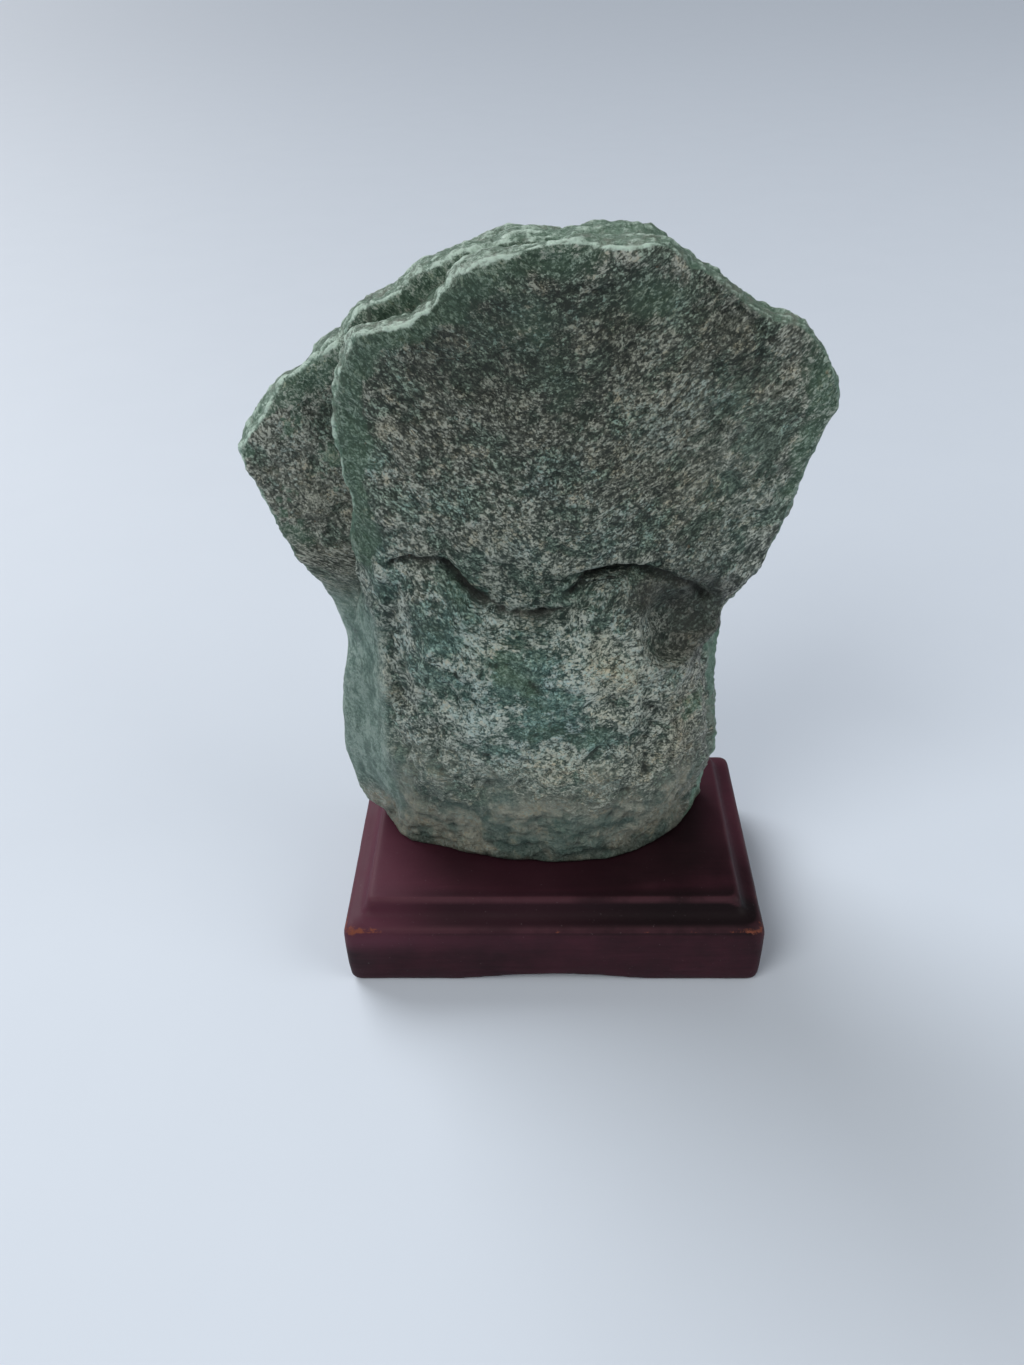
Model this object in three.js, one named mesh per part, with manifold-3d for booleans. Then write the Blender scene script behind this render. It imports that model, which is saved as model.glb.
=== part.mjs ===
// A raw fuchsite specimen on its wooden display stand.
//
// The rock is one piece of green mica schist.  It has split along its foliation, so it is built the
// way it broke: upright leaves of rock, one behind the other, each with its own broken outline, on a
// thicker stump that stands forward of them.  The stump's foot is sawn flat and stands on the top of
// the stand, a rectangular block with a moulded edge and a shallow arch under each side.
//
// Millimetres, +X to the right, +Y to the back, +Z up, measured from the middle of the stand at
// table level.

import * as THREE from 'three';
import { mergeVertices } from 'three/addons/utils/BufferGeometryUtils.js';
import { TessellateModifier } from 'three/addons/modifiers/TessellateModifier.js';
import { ImprovedNoise } from 'three/addons/math/ImprovedNoise.js';
import Module from 'manifold-3d';

const wasm = await Module();
wasm.setup();

// ---------- driving dimensions ----------

const STAND_WIDTH = 90;
const STAND_DEPTH = 57;
const STAND_HEIGHT = 21;
const STAND_CORNER = 1.6;
const ARCH_RISE = 2.2;
const ARCH_WIDTH_FRONT = 44;
const ARCH_WIDTH_SIDE = 26;

// The gap between the sawn foot and the top of the stand.
const FOOT_GAP = 0.3;

const RIM = 2.2;
const BROAD_EDGE = 6.8;
const RIM_EDGE = 5.1;

const noise = new ImprovedNoise();

// ---------- helpers ----------

// A closed mesh as a solid for cutting and joining.
function solid(geometry) {
  const bare = geometry.clone();
  bare.deleteAttribute('normal');
  bare.deleteAttribute('uv');
  const merged = mergeVertices(bare, 1e-3);
  const source = merged.index.array;
  const index = [];
  for (let i = 0; i < source.length; i += 3) {
    const [a, b, c] = source.slice(i, i + 3);
    if (a !== b && b !== c && c !== a) index.push(a, b, c);
  }
  const vertProperties = new Float32Array(merged.attributes.position.array);
  return new wasm.Manifold(new wasm.Mesh({ numProp: 3, vertProperties, triVerts: new Uint32Array(index) }));
}

// The vertices and triangles of a solid as a three.js geometry.
function geometryOf(body) {
  const mesh = body.getMesh();
  const geometry = new THREE.BufferGeometry();
  geometry.setAttribute('position', new THREE.BufferAttribute(new Float32Array(mesh.vertProperties), 3));
  geometry.setIndex(new THREE.BufferAttribute(new Uint32Array(mesh.triVerts), 1));
  return geometry;
}

// Moves every vertex of a geometry by a rule.
function moveVertices(geometry, rule) {
  const position = geometry.attributes.position;
  const point = new THREE.Vector3();
  for (let i = 0; i < position.count; i++) {
    point.fromBufferAttribute(position, i);
    rule(point);
    position.setXYZ(i, point.x, point.y, point.z);
  }
  return geometry;
}

// A lathe whose columns are led along any outline instead of round a circle.  Each profile point is
// [share of the way out, ...numbers for place], and place(column, share, ...numbers) is the vertex.
function ledLathe(profile, columns, place) {
  const lathe = new THREE.LatheGeometry(profile.map(([share], ring) => new THREE.Vector2(share, ring)), columns);
  const position = lathe.attributes.position;
  for (let column = 0; column <= columns; column++) {
    profile.forEach((numbers, ring) => {
      const point = place(column % columns, ...numbers);
      position.setXYZ(column * profile.length + ring, point.x, point.y, point.z);
    });
  }
  return lathe;
}

const bump = (distance, radius) => Math.exp(-((distance / radius) ** 2));

// The height of a line through [x, z] points, above one x.
function along(points, x) {
  const after = points.findIndex(([px]) => px > x);
  if (after < 0) return points.at(-1)[1];
  if (after === 0) return points[0][1];
  const [x0, z0] = points[after - 1];
  const [x1, z1] = points[after];
  return THREE.MathUtils.mapLinear(x, x0, x1, z0, z1);
}

// ---------- the leaves of rock ----------

// One upright leaf: a broken outline with rounded rims.  front and back are its two faces, and
// relief(x, z) is how far its front face stands further forward.
function leaf({ outline, front, back, rim = RIM, relief = () => 0, backRelief = () => 0, seed = 0 }) {
  const corners = outline.map(([x, z]) => new THREE.Vector3(x, z, 0));
  const curve = new THREE.CatmullRomCurve3(corners, true, 'catmullrom', 0.3);
  const edge = curve.getSpacedPoints(Math.round(curve.getLength() / RIM_EDGE)).slice(0, -1);
  const chipped = edge.map(({ x, y }) => new THREE.Vector2(
    x + noise.noise(x / 5 + seed, y / 5, seed),
    y + noise.noise(x / 5, y / 5 + seed, 4.4),
  ));
  const extrusion = new THREE.ExtrudeGeometry(new THREE.Shape(chipped), {
    depth: back - front - 2 * rim,
    bevelThickness: rim,
    bevelSize: rim,
    bevelOffset: -rim,
    bevelSegments: 2,
  });
  extrusion.rotateX(Math.PI / 2);
  extrusion.translate(0, back - rim, 0);
  const fine = new TessellateModifier(BROAD_EDGE, 12).modify(extrusion);
  const middle = (front + back) / 2;
  return solid(moveVertices(fine, (point) => {
    point.y += point.y < middle ? -relief(point.x, point.z) : backRelief(point.x, point.z);
  }));
}

// The rearmost leaf, its back open to view only from behind.
const REAR_OUTLINE = [
  [-55.5, 111.6], [-52.6, 115.8], [-44, 124.2], [-34, 133], [-25, 138.6], [-15.5, 144], [-7, 146.6],
  [4, 146.6], [16, 146.2], [22, 142.5], [32, 136], [43, 128.5], [45.5, 119], [44, 110], [46, 101],
  [43.5, 90], [39, 82], [34, 71], [34, 60], [35, 50], [34, 36], [31, 22], [26, 13], [-26, 13],
  [-38, 24], [-44, 35], [-46, 46], [-43.5, 58], [-42, 72], [-46.5, 84], [-51, 95], [-54, 104],
];
const rear = leaf({
  outline: REAR_OUTLINE,
  front: 9,
  back: 15.5,
  seed: 1.7,
  backRelief: (x, z) => -2 * bump(Math.hypot(x + 45, z - 112), 18) + 1.2 * noise.noise(x / 17, 4, z / 21),
});

// The leaf before it, whose left-hand point sticks out furthest.
const second = leaf({
  outline: [
    [-57.2, 112.8], [-54.8, 116.6], [-49.6, 121.6], [-44.6, 126.2], [-39.4, 131], [-34.4, 135.2],
    [-30, 138.2], [-25.5, 140.6], [-20, 143.6], [-15.5, 146.2], [-11, 147.4], [-7, 148.4], [4, 148.6],
    [16.5, 148.4], [20, 146.4], [24, 143], [33, 137.5], [43, 130], [46.3, 120], [44.4, 111],
    [46.9, 103.4], [45.2, 96.4], [43, 91.6], [40, 85.3], [38, 82.6], [35.4, 78], [34.2, 73], [34, 67],
    [35.4, 60], [35, 48], [32.5, 27], [25, 13], [-28, 13], [-40, 22], [-44.5, 31], [-47, 42],
    [-44.6, 56], [-42.6, 70], [-44, 78.5], [-47.5, 86], [-50.5, 92], [-53, 101], [-55.4, 107],
  ],
  front: 2.2,
  back: 10,
  seed: 6.1,
});

// The leaf between the two large ones.  It stops short at the upper left, which leaves a groove there.
const between = leaf({
  outline: [
    [-32, 104], [-32, 115], [-29, 123], [-22, 129], [-15, 134.5], [-9, 140], [-3, 145], [5, 148],
    [15, 148.3], [22, 145], [33, 137.5], [42, 131], [45, 120], [42, 104], [36, 87], [28, 78],
    [-30, 78], [-32, 95],
  ],
  front: -1,
  back: 5,
  rim: 1.6,
  seed: 3.3,
});

// The large front leaf: a broad, slightly dished cleavage face with an ear at its upper right.
const FACE_OUTLINE = [
  [-37.2, 96], [-37.2, 106], [-37.3, 118], [-37.1, 126], [-35.4, 132], [-32.3, 135.6], [-28.8, 136.9],
  [-24.3, 137.4], [-22.2, 138.7], [-18.8, 140.5], [-17.2, 143.2], [-14.4, 145.6], [-10.6, 147.2],
  [-1, 148.4], [10.8, 149.3], [18, 149.6], [21.7, 147.2], [23.6, 145], [29, 142.5], [33.3, 138.6],
  [38.1, 136.6], [42.4, 134.1], [45, 130.6], [46.8, 125.5], [47.5, 121.2], [46.2, 117.5], [44.6, 113],
  [43.6, 106], [41.8, 100.8], [40.4, 96.7], [38.8, 92.6], [36, 88], [33.6, 84], [30, 74], [-30, 68],
  [-37, 82],
];
const face = leaf({
  outline: FACE_OUTLINE,
  front: -6.8,
  back: 1,
  seed: 9.2,
  relief: (x, z) => -1.7 * bump(Math.hypot(x + 2, z - 122), 24)
    - 3.6 * bump(x + 39, 5.5)
    + 1.2 * bump(Math.hypot(x - 38, z - 124), 8)
    - 1.5 * bump(x - 29.5 + (z - 137) * 0.9, 3) * bump(z - 137, 7)
    - 0.9 * bump(Math.hypot(x + 28, z - 120), 4)
    + 0.8 * bump(Math.hypot(x - 12, z - 102), 9),
});

// A lower leaf broken off across the back.
const backing = leaf({
  outline: [
    [-41, 84], [-36, 97], [-22, 103], [-8, 99], [6, 107], [20, 104], [31, 92], [34, 76], [30, 62],
    [32, 44], [27, 27], [14, 13], [-24, 13], [-34, 28], [-40, 46], [-37, 66],
  ],
  front: 13,
  back: 20,
  seed: 12.5,
  backRelief: (x, z) => -3.4 * bump(z - 14, 22) + 1.3 * noise.noise(x / 15, 9, z / 19),
});

// ---------- the stump ----------

// Half sections of the stump seen from above, front outline from right to left as [x, y]: round at
// the foot, squarer with a flat flank on the left at its waist.
const FOOT_FRONT = [
  [36.2, 9], [34.6, 6.4], [32.2, 2.8], [26.9, -3.3], [19.7, -8.2], [10.6, -11.5], [1.7, -12.4],
  [-7.1, -12.1], [-16.1, -10.8], [-25.2, -8.7], [-32.3, -5.6], [-36.2, -1.2], [-39, 3.4], [-39.8, 8],
];
const WAIST_FRONT = [
  [36.6, 9], [36.2, 4], [35, -2.5], [31.5, -8.8], [24.5, -13.2], [14, -15.4], [2, -16.2],
  [-9, -16], [-19, -14.9], [-28.5, -12.2], [-34, -7.4], [-39.5, -2.4], [-44.5, 3], [-46, 8],
];

// The crest of the stump from left to right, as [x, z]: two lobes with a dip between them.
const CREST = [
  [-46, 76], [-38, 84], [-32, 91], [-26, 94.5], [-21, 93.6], [-17.5, 91.5], [-15, 87.2], [-11.5, 83.2],
  [-7.5, 81.6], [-2.5, 81.4], [2, 84.6], [6.5, 89], [13, 92], [19, 91], [25, 89.5], [29, 85.5],
  [32, 79], [37, 70],
];

// Rings from below the sawn foot to the crest: [share of the width, height, how much of the waist
// section, share of the way forward].  Above the brow the height counts from 0 to 1 up to the crest.
const BROW = 68;
const STUMP_RINGS = [
  [0, 14, 0, 1], [0.9, 14, 0, 0.96], [0.99, 20, 0, 1], [0.98, 27, 0.35, 1], [0.98, 34, 0.75, 1],
  [0.99, 41, 1, 1], [0.98, 48, 1, 1.01], [0.96, 55, 1, 1.02], [0.94, 62, 1, 1.02], [0.92, BROW, 1, 1],
  [0.91, BROW + 0.3, 1, 0.98], [0.9, BROW + 0.55, 1, 0.93], [0.89, BROW + 0.76, 1, 0.84],
  [0.87, BROW + 0.9, 1, 0.72], [0.85, BROW + 1, 1, 0.58], [0.5, BROW + 0.98, 1, 0.5],
  [0, BROW + 0.95, 1, 0.4],
];

function stump() {
  const steps = 54;
  const curves = [FOOT_FRONT, WAIST_FRONT].map((outline) => {
    const front = outline.map(([x, y]) => new THREE.Vector3(x, y, 0));
    const rearCorners = [new THREE.Vector3(-34, 13, 0), new THREE.Vector3(0, 14, 0), new THREE.Vector3(30, 13, 0)];
    return new THREE.CatmullRomCurve3([...front, ...rearCorners], true, 'catmullrom', 0.5);
  });
  const rows = curves.map((curve) => curve.getSpacedPoints(steps).slice(0, -1).toReversed());
  const place = (column, share, height, waist, forward) => {
    const point = rows[0][column].clone().lerp(rows[1][column], waist);
    const middle = -3;
    point.x = middle + (point.x - middle) * share;
    if (point.y < 5) point.y = 5 + (point.y - 5) * forward * (share > 0.84 ? 1 : share);
    if (share === 0) point.y = 5;
    const rise = height - BROW;
    point.z = rise > 0 ? BROW + rise * (along(CREST, point.x) - BROW) : height;
    return point;
  };
  return solid(ledLathe(STUMP_RINGS, steps, place));
}

// ---------- hollows ----------

// Hollows and clefts in the rock: [x, y, z, half width, half depth, half height, lean in radians].
const HOLLOWS = [
  [26.6, -13.6, 81.8, 9.2, 10.4, 8.2, 0.15],
  [18.5, -11.5, 89.6, 8, 5, 3.6, 0.5],
  [11, -6.4, 91.4, 13, 1.9, 1.5, -0.1],
  [-6, -6.6, 83, 10, 1.6, 1.2, 0.06],
  [-17, -6.7, 90.6, 5.5, 1.7, 1.1, 0.85],
  [-26.5, -7, 95.3, 4, 1.6, 0.8, 0],
  [50, 13, 87, 6.5, 6, 8, 0],
  [-50, 19, 96, 9, 6, 12, 0.2],
];

function scoops() {
  return HOLLOWS.map(([x, y, z, wide, deep, high, lean]) => {
    const scoop = moveVertices(new THREE.SphereGeometry(1, 18, 10), (point) => {
      point.multiplyScalar(1 + 0.22 * noise.noise(point.x * 2.3, point.y * 2.3, point.z * 2.3 + x));
    });
    scoop.scale(wide, deep, high);
    scoop.rotateY(lean);
    scoop.translate(x, y, z);
    return solid(scoop);
  });
}

// ---------- the whole rock ----------

// Roughens the rock: slow bends of the leaves, then lumps, then chips.
function roughen(point) {
  [[26, 1.1, 11.7], [9, 1.1, 23.9], [4.5, 0.7, 41.3]].forEach(([grain, reach, seed]) => {
    const [x, y, z] = [point.x / grain, point.y / grain, point.z / grain];
    point.x += reach * noise.noise(x + seed, y, z);
    point.y += reach * noise.noise(x, y + seed, z + 7.3);
    point.z += reach * noise.noise(x + 3.1, y, z + seed);
  });
}

function fuchsite() {
  const whole = [second, between, face, backing, stump()].reduce((joined, piece) => joined.add(piece), rear);
  const hollowed = scoops().reduce((left, scoop) => left.subtract(scoop), whole);
  const rough = solid(moveVertices(geometryOf(hollowed), roughen));
  const saw = new THREE.BoxGeometry(200, 200, 60);
  saw.translate(0, 0, STAND_HEIGHT + FOOT_GAP - 30);
  return geometryOf(rough.subtract(solid(saw)));
}

// ---------- the stand ----------

// The moulded edge from the underside up to the flat top, as [inset from the side, height].
const MOULDING = [
  [1.3, 0], [0.5, 0.5], [0.15, 1.6], [0, 5], [0, 11], [0.1, 15], [0.5, 16.3], [1.4, 16.9],
  [2.8, 17.2], [3.7, 17.6], [4.4, 18.4], [4.8, 19.5], [5.1, 20.4], [5.7, 20.9], [6.6, STAND_HEIGHT],
];

// A long bar with a shallow arched top, for cutting under the stand.
function archBar(width, length) {
  const radius = (width ** 2 / 4 + ARCH_RISE ** 2) / (2 * ARCH_RISE);
  const half = Math.asin(width / 2 / radius);
  const section = new THREE.Shape();
  section.moveTo(width / 2, -5);
  section.lineTo(width / 2, 0);
  section.absarc(0, ARCH_RISE - radius, radius, Math.PI / 2 - half, Math.PI / 2 + half, false);
  section.lineTo(-width / 2, -5);
  const bar = new THREE.ExtrudeGeometry(section, { depth: length, bevelEnabled: false, curveSegments: 14 });
  bar.translate(0, 0, -length / 2);
  bar.rotateX(Math.PI / 2);
  return bar;
}

function stand() {
  const cornerSteps = 4;
  const place = (column, share, inset, height) => {
    const corner = Math.floor(column / cornerSteps);
    const angle = (corner + (column % cornerSteps) / (cornerSteps - 1)) * Math.PI / 2;
    const [sideX, sideY] = [[1, 1], [-1, 1], [-1, -1], [1, -1]][corner];
    const x = sideX * (STAND_WIDTH / 2 - STAND_CORNER - inset) + STAND_CORNER * Math.cos(angle);
    const y = sideY * (STAND_DEPTH / 2 - STAND_CORNER - inset) + STAND_CORNER * Math.sin(angle);
    return new THREE.Vector3(share * x, share * y, height);
  };
  const profile = [[0, 0, 0], ...MOULDING.map(([inset, height]) => [1, inset, height]), [0, 0, STAND_HEIGHT]];
  const block = solid(ledLathe(profile, 4 * cornerSteps, place));
  const along = archBar(ARCH_WIDTH_FRONT, STAND_DEPTH + 20);
  const across = archBar(ARCH_WIDTH_SIDE, STAND_WIDTH + 20);
  across.rotateZ(Math.PI / 2);
  return geometryOf(block.subtract(solid(along)).subtract(solid(across)));
}

// ---------- the object ----------

function named(name, geometry, colour, roughness) {
  const material = new THREE.MeshStandardMaterial({ color: colour, roughness, metalness: 0 });
  const mesh = new THREE.Mesh(geometry, material);
  mesh.name = name;
  return mesh;
}

const specimen = new THREE.Group();
specimen.add(named('fuchsite_rock', fuchsite(), 0x5c7467, 0.75));
specimen.add(named('wooden_stand', stand(), 0x3a1518, 0.35));

// The origin is the middle of the bounding box, at the level of the table.
const bounds = new THREE.Box3().setFromObject(specimen);
specimen.position.set(-(bounds.min.x + bounds.max.x) / 2, -(bounds.min.y + bounds.max.y) / 2, 0);

export default specimen;
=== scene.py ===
# A raw fuchsite specimen on its wooden display stand.
#
# The rock is one upright piece of green mica schist, split along its leaves.  The stand is one block
# of hardwood with a moulded edge under dark red lacquer.  The rock stands on the block's flat top.

import math

import bmesh
import bpy
import numpy as np
from mathutils import Matrix, Vector, noise


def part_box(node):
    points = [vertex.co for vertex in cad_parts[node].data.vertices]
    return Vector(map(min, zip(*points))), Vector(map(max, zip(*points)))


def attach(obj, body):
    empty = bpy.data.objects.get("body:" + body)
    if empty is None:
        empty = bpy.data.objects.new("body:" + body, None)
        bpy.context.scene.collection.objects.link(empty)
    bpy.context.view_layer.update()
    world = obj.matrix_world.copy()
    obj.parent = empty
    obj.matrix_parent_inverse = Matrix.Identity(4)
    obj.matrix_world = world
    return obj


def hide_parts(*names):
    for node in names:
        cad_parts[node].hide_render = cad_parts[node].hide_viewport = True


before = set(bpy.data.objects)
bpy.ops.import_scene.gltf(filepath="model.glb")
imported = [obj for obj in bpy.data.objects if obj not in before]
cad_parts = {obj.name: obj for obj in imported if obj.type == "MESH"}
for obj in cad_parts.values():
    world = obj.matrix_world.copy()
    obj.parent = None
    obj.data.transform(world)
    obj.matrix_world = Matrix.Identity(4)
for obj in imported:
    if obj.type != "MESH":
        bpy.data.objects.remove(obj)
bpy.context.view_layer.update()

MM = 0.001
stand_low, stand_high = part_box("wooden_stand")
rock_low, rock_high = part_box("fuchsite_rock")
stand_middle = (stand_low + stand_high) / 2


# ---------------------------------------------------------------------------------------------
# The rock.  Green mica schist breaks into leaves, so its broad faces are cleavage planes covered in
# fine scales of mica, its rims show the clean green edges of the leaves, and a deep cleft parts the
# upper face from the stump.  Nothing is worked except the sawn foot, which stands on the stand.
# ---------------------------------------------------------------------------------------------

ROCK_VOXEL = 0.64 * MM
ROCK_SMOOTHING = 5
# Two narrow crevices under the lip, closed with rounded blocks.
CREVICES = [(-5.6, -4.6, 82.2, 8.8, 2.7, 3.3), (-12, -7.4, 83, 2, 1.7, 1.6)]


def finer_copy(node, name, voxel, smoothing, fillings=()):
    """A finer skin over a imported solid: its merged copy, rebuilt in small even faces and eased.

    Each filling closes a crevice with a rounded block: (x, y, z, half width, half depth, half height).
    """
    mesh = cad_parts[node].data.copy()
    mesh.materials.clear()
    body = bmesh.new()
    body.from_mesh(mesh)
    bmesh.ops.remove_doubles(body, verts=body.verts, dist=0.001 * MM)
    for *place, wide, deep, high in fillings:
        for corner in bmesh.ops.create_icosphere(body, subdivisions=3, radius=1)["verts"]:
            rounded = Vector([math.copysign(abs(axis) ** 0.6, axis) for axis in corner.co])
            corner.co = (rounded * Vector((wide, deep, high)) + Vector(place)) * MM
            corner.co += Vector((stand_middle.x, stand_middle.y, 0))
    body.to_mesh(mesh)
    body.free()
    coarse = bpy.data.objects.new(name + "_coarse", mesh)
    bpy.context.scene.collection.objects.link(coarse)
    remesh = coarse.modifiers.new("even faces", "REMESH")
    remesh.mode = "VOXEL"
    remesh.voxel_size = voxel
    ease = coarse.modifiers.new("eased facets", "SMOOTH")
    ease.factor = 0.5
    ease.iterations = smoothing
    evaluated = coarse.evaluated_get(bpy.context.evaluated_depsgraph_get())
    fine = bpy.data.meshes.new_from_object(evaluated)
    bpy.data.objects.remove(coarse)
    fine.name = name
    piece = bpy.data.objects.new(name, fine)
    bpy.context.scene.collection.objects.link(piece)
    return piece


def places(mesh):
    """The vertices' places, in millimetres."""
    flat = np.empty(len(mesh.vertices) * 3, np.float32)
    mesh.vertices.foreach_get("co", flat)
    return flat.reshape(-1, 3).astype(float) / MM


def set_places(mesh, points):
    """Moves the vertices to their new places, in millimetres."""
    mesh.vertices.foreach_set("co", (points * MM).astype(np.float32).ravel())
    mesh.update()


def directions(mesh):
    """The vertices' outward directions."""
    flat = np.empty(len(mesh.vertices) * 3, np.float32)
    mesh.vertex_normals.foreach_get("vector", flat)
    return flat.reshape(-1, 3).astype(float)


def neighbour_mean(mesh, values, rounds):
    """Values spread evenly over the surface, once to each neighbour a round."""
    edges = np.empty(len(mesh.edges) * 2, np.int32)
    mesh.edges.foreach_get("vertices", edges)
    a, b = edges.reshape(-1, 2).T
    count = np.bincount(a, minlength=len(values)) + np.bincount(b, minlength=len(values))
    wide = values.reshape(len(values), -1)
    for _ in range(rounds):
        total = np.column_stack([
            np.bincount(a, wide[b, k], len(values)) + np.bincount(b, wide[a, k], len(values))
            for k in range(wide.shape[1])
        ])
        wide = (wide + total / count[:, None]) / 2
    return wide.reshape(values.shape)


def store(mesh, name, values):
    """Keeps one number, or one vector, per vertex for the material to read."""
    kind, field = ("FLOAT", "value") if values.ndim == 1 else ("FLOAT_VECTOR", "vector")
    attribute = mesh.attributes.new(name, kind, "POINT")
    attribute.data.foreach_set(field, values.astype(np.float32).ravel())


def grain(points, size, seed=0.0):
    """Smooth random values, about -1 to 1, that change over that many millimetres."""
    return np.array([noise.noise(p) for p in (points / size + seed).tolist()]) * 1.6


def rise(values, low, high):
    """0 below low, 1 above high, and an easy slope between."""
    t = np.clip((values - low) / (high - low), 0, 1)
    return t * t * (3 - 2 * t)


def line_distance(points, line):
    """How far each (x, z) lies from a broken line."""
    nearest = np.full(len(points), 1e9)
    for (x0, z0), (x1, z1) in zip(line, line[1:]):
        along = np.array([x1 - x0, z1 - z0])
        t = np.clip(((points - [x0, z0]) @ along) / (along @ along), 0, 1)
        nearest = np.minimum(nearest, np.hypot(*(points - [x0, z0] - t[:, None] * along).T))
    return nearest


def patches(points, spots):
    """The sum of soft round patches, each (x, z, half width, half height, amount)."""
    total = np.zeros(len(points))
    for x, z, wide, high, amount in spots:
        dx, dz = (points - [x, z]).T
        total += amount * np.exp(-((dx / wide) ** 2 + (dz / high) ** 2))
    return total


rock = finer_copy("fuchsite_rock", "split_rock", ROCK_VOXEL, ROCK_SMOOTHING, CREVICES)
skin = places(rock.data)
out = directions(rock.data)
foot = rock_low.z / MM
centre = np.array([stand_middle.x / MM, stand_middle.y / MM, 0])

# The stump's left flank broke off in one smooth sweep.
x, y, z = (skin - centre).T
sweep = rise(-x, 31, 37) * rise(z, 27, 36) * rise(-z, -90, -76) * rise(-y, -14, -8)
skin += (neighbour_mean(rock.data, skin, 60) - skin) * sweep[:, None]

# The scoop at the stump's upper right is worn soft.
x, y, z = (skin - centre).T
scoop = np.exp(-(((x - 25) / 9) ** 4 + ((z - 82) / 9.5) ** 4)) * rise(-y, -1, 3)
skin += (neighbour_mean(rock.data, skin, 45) - skin) * 0.85 * scoop[:, None]

# How squarely each place faces the front or back, 1 on the cleavage faces and 0 on the rims.
flatness = rise(np.abs(neighbour_mean(rock.data, out, 4)[:, 1]), 0.45, 0.85)
free = rise(skin[:, 2], foot + 0.2, foot + 2.5)

# The scales lie in trains.  They hang in a curve across the upper face, run level over the stump, and
# stand steeply on the point at the left.
middle = skin - centre
x, y, z = middle.T
hang = (0.2 + 0.45 * rise(z, 58, 100)) * 14 * (np.hypot(1, x / 14) - 1)
point = (x < -30) * (y > 1.3) * rise(-y, -11, -5) * rise(z, 74, 96)
steep = math.radians(-52)
side, height = x + 44, z - 104
level = x + (side * (math.cos(steep) - 1) + height * math.sin(steep)) * point
rising = z - hang + (height * (math.cos(steep) - 1) - side * math.sin(steep) + hang) * point
trains = np.column_stack([level / 1.2, y, rising])
waver = np.column_stack([grain(middle, 7, seed) for seed in (3.1, 17.9, 29.3)])
wavy = trains + 1.1 * waver

# The patches of the front, each (x, z, half width, half height, amount): bare green mica, the pale
# crust of scales, a dull film, the beige and green of the foot, warmer and bluer places, and the mint
# tone of the stump.
GREEN = [
    (-4.6, 73, 4.5, 4.5, 1.0), (-10, 76, 4, 3, 0.6), (0, 67, 12, 2.5, 0.5), (2, 60, 17, 4, 0.7),
    (-22, 82, 4, 4, 0.6), (-18, 89, 6, 2.5, 0.7), (8, 87, 7, 2.5, 0.5), (25, 68, 3, 6, 0.4),
    (28.5, 61, 2, 3, 1.0), (-33.5, 112, 2.5, 20, 0.8), (-29, 133, 5, 5, 0.6), (-16, 139, 7, 5, 0.6),
    (-3, 136, 7, 6, 0.6), (2, 125, 5, 6, 0.5), (16, 141, 8, 5, 0.7), (-5, 108, 4, 4, 0.5),
    (38, 112, 4, 14, 0.4), (30, 128, 3, 4, 0.5), (-20, 104, 3, 5, 0.3), (2, 33, 4, 5, 0.5),
    (-24, 42, 3, 6, 0.4), (-46, 118, 7, 5, 0.5),
]
PALE = [
    (13, 72, 7, 6, 1.0), (9, 79, 5, 3, 0.6), (-14, 77, 7, 4, 0.6), (-22, 64, 4, 6, 0.4),
    (0, 51, 19, 4, 0.8), (-2, 44, 14, 3, 0.5), (-34, 68, 2, 14, 0.6), (-13, 64, 6, 3, 0.5),
    (12, 63, 5, 3, 0.4), (27, 58, 5, 15, 1.0), (2, 31, 26, 7, 0.5), (-28, 120, 3.5, 2.5, 0.8),
    (16, 124, 9, 10, 0.5), (28, 112, 8, 9, 0.3), (-6, 99, 10, 6, 0.15), (14, 102, 8, 6, 0.1),
    (-44, 101, 5, 9, 0.4), (-26, 96, 4, 3, 0.4), (38, 127, 4, 4, 0.3), (26.5, 77.5, 2.4, 0.7, 0.7),
]
VEIL = [
    (-12, 134, 20, 13, 0.8), (12, 138, 20, 9, 0.6), (30, 133, 5, 5, 0.7), (13, 113, 5, 3, 0.5),
    (22, 110, 4, 3, 0.6), (0, 120, 26, 12, 0.5), (22, 100, 12, 9, 0.4), (-2, 91, 14, 3, 0.7),
    (-10, 86, 12, 3.5, 0.4), (14, 88, 14, 3.5, 0.5), (-10, 97.5, 5, 3, 0.6), (6, 103, 7, 3.5, 0.4),
    (19, 89, 6, 4, 0.4), (28, 95, 5, 5, 0.4), (-30, 34, 5, 8, 0.4), (26, 30, 7, 7, 0.3), (0, 25, 34, 3, 0.3),
    (-36, 90, 3, 12, 0.3), (0, 98, 24, 5, 0.35), (0, 136, 34, 10, 0.3),
]
BEIGE = [
    (-27, 38, 7, 7, 0.9), (-18, 28, 6, 4, 0.6), (22, 32, 7, 8, 0.9), (0, 41, 15, 4, 0.8), (30, 42, 5, 7, 0.5),
    (-8, 29, 5, 4, -0.6), (8, 25, 8, 4, -0.7), (-20, 40, 4, 5, -0.4),
]
WARM = [
    (32, 124, 5, 8, 0.8), (-18, 117, 7, 5, 0.6), (29, 104, 7, 5, 0.7), (9, 110, 6, 4, 0.5),
    (-30, 105, 4, 6, 0.5),
]
SLATE = [
    (22, 125, 9, 7, 0.7), (15, 117, 8, 7, 0.7), (13, 100, 9, 6, 0.8), (-21, 80, 6, 8, 0.8),
    (-2, 108, 8, 6, 0.5),
]
MINT = [(-6, 68, 26, 24, 1.0), (-33, 92, 5, 14, 0.5), (34, 104, 8, 14, 0.35), (-6, 97, 16, 5, 0.15)]
plan = np.column_stack([x, z]) + 2.2 * waver[:, :2] + 0.9 * np.column_stack(
    [grain(middle, 2.4, 91.0), grain(middle, 2.4, 97.0)])
front = rise(-y, -2, 1)
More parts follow.
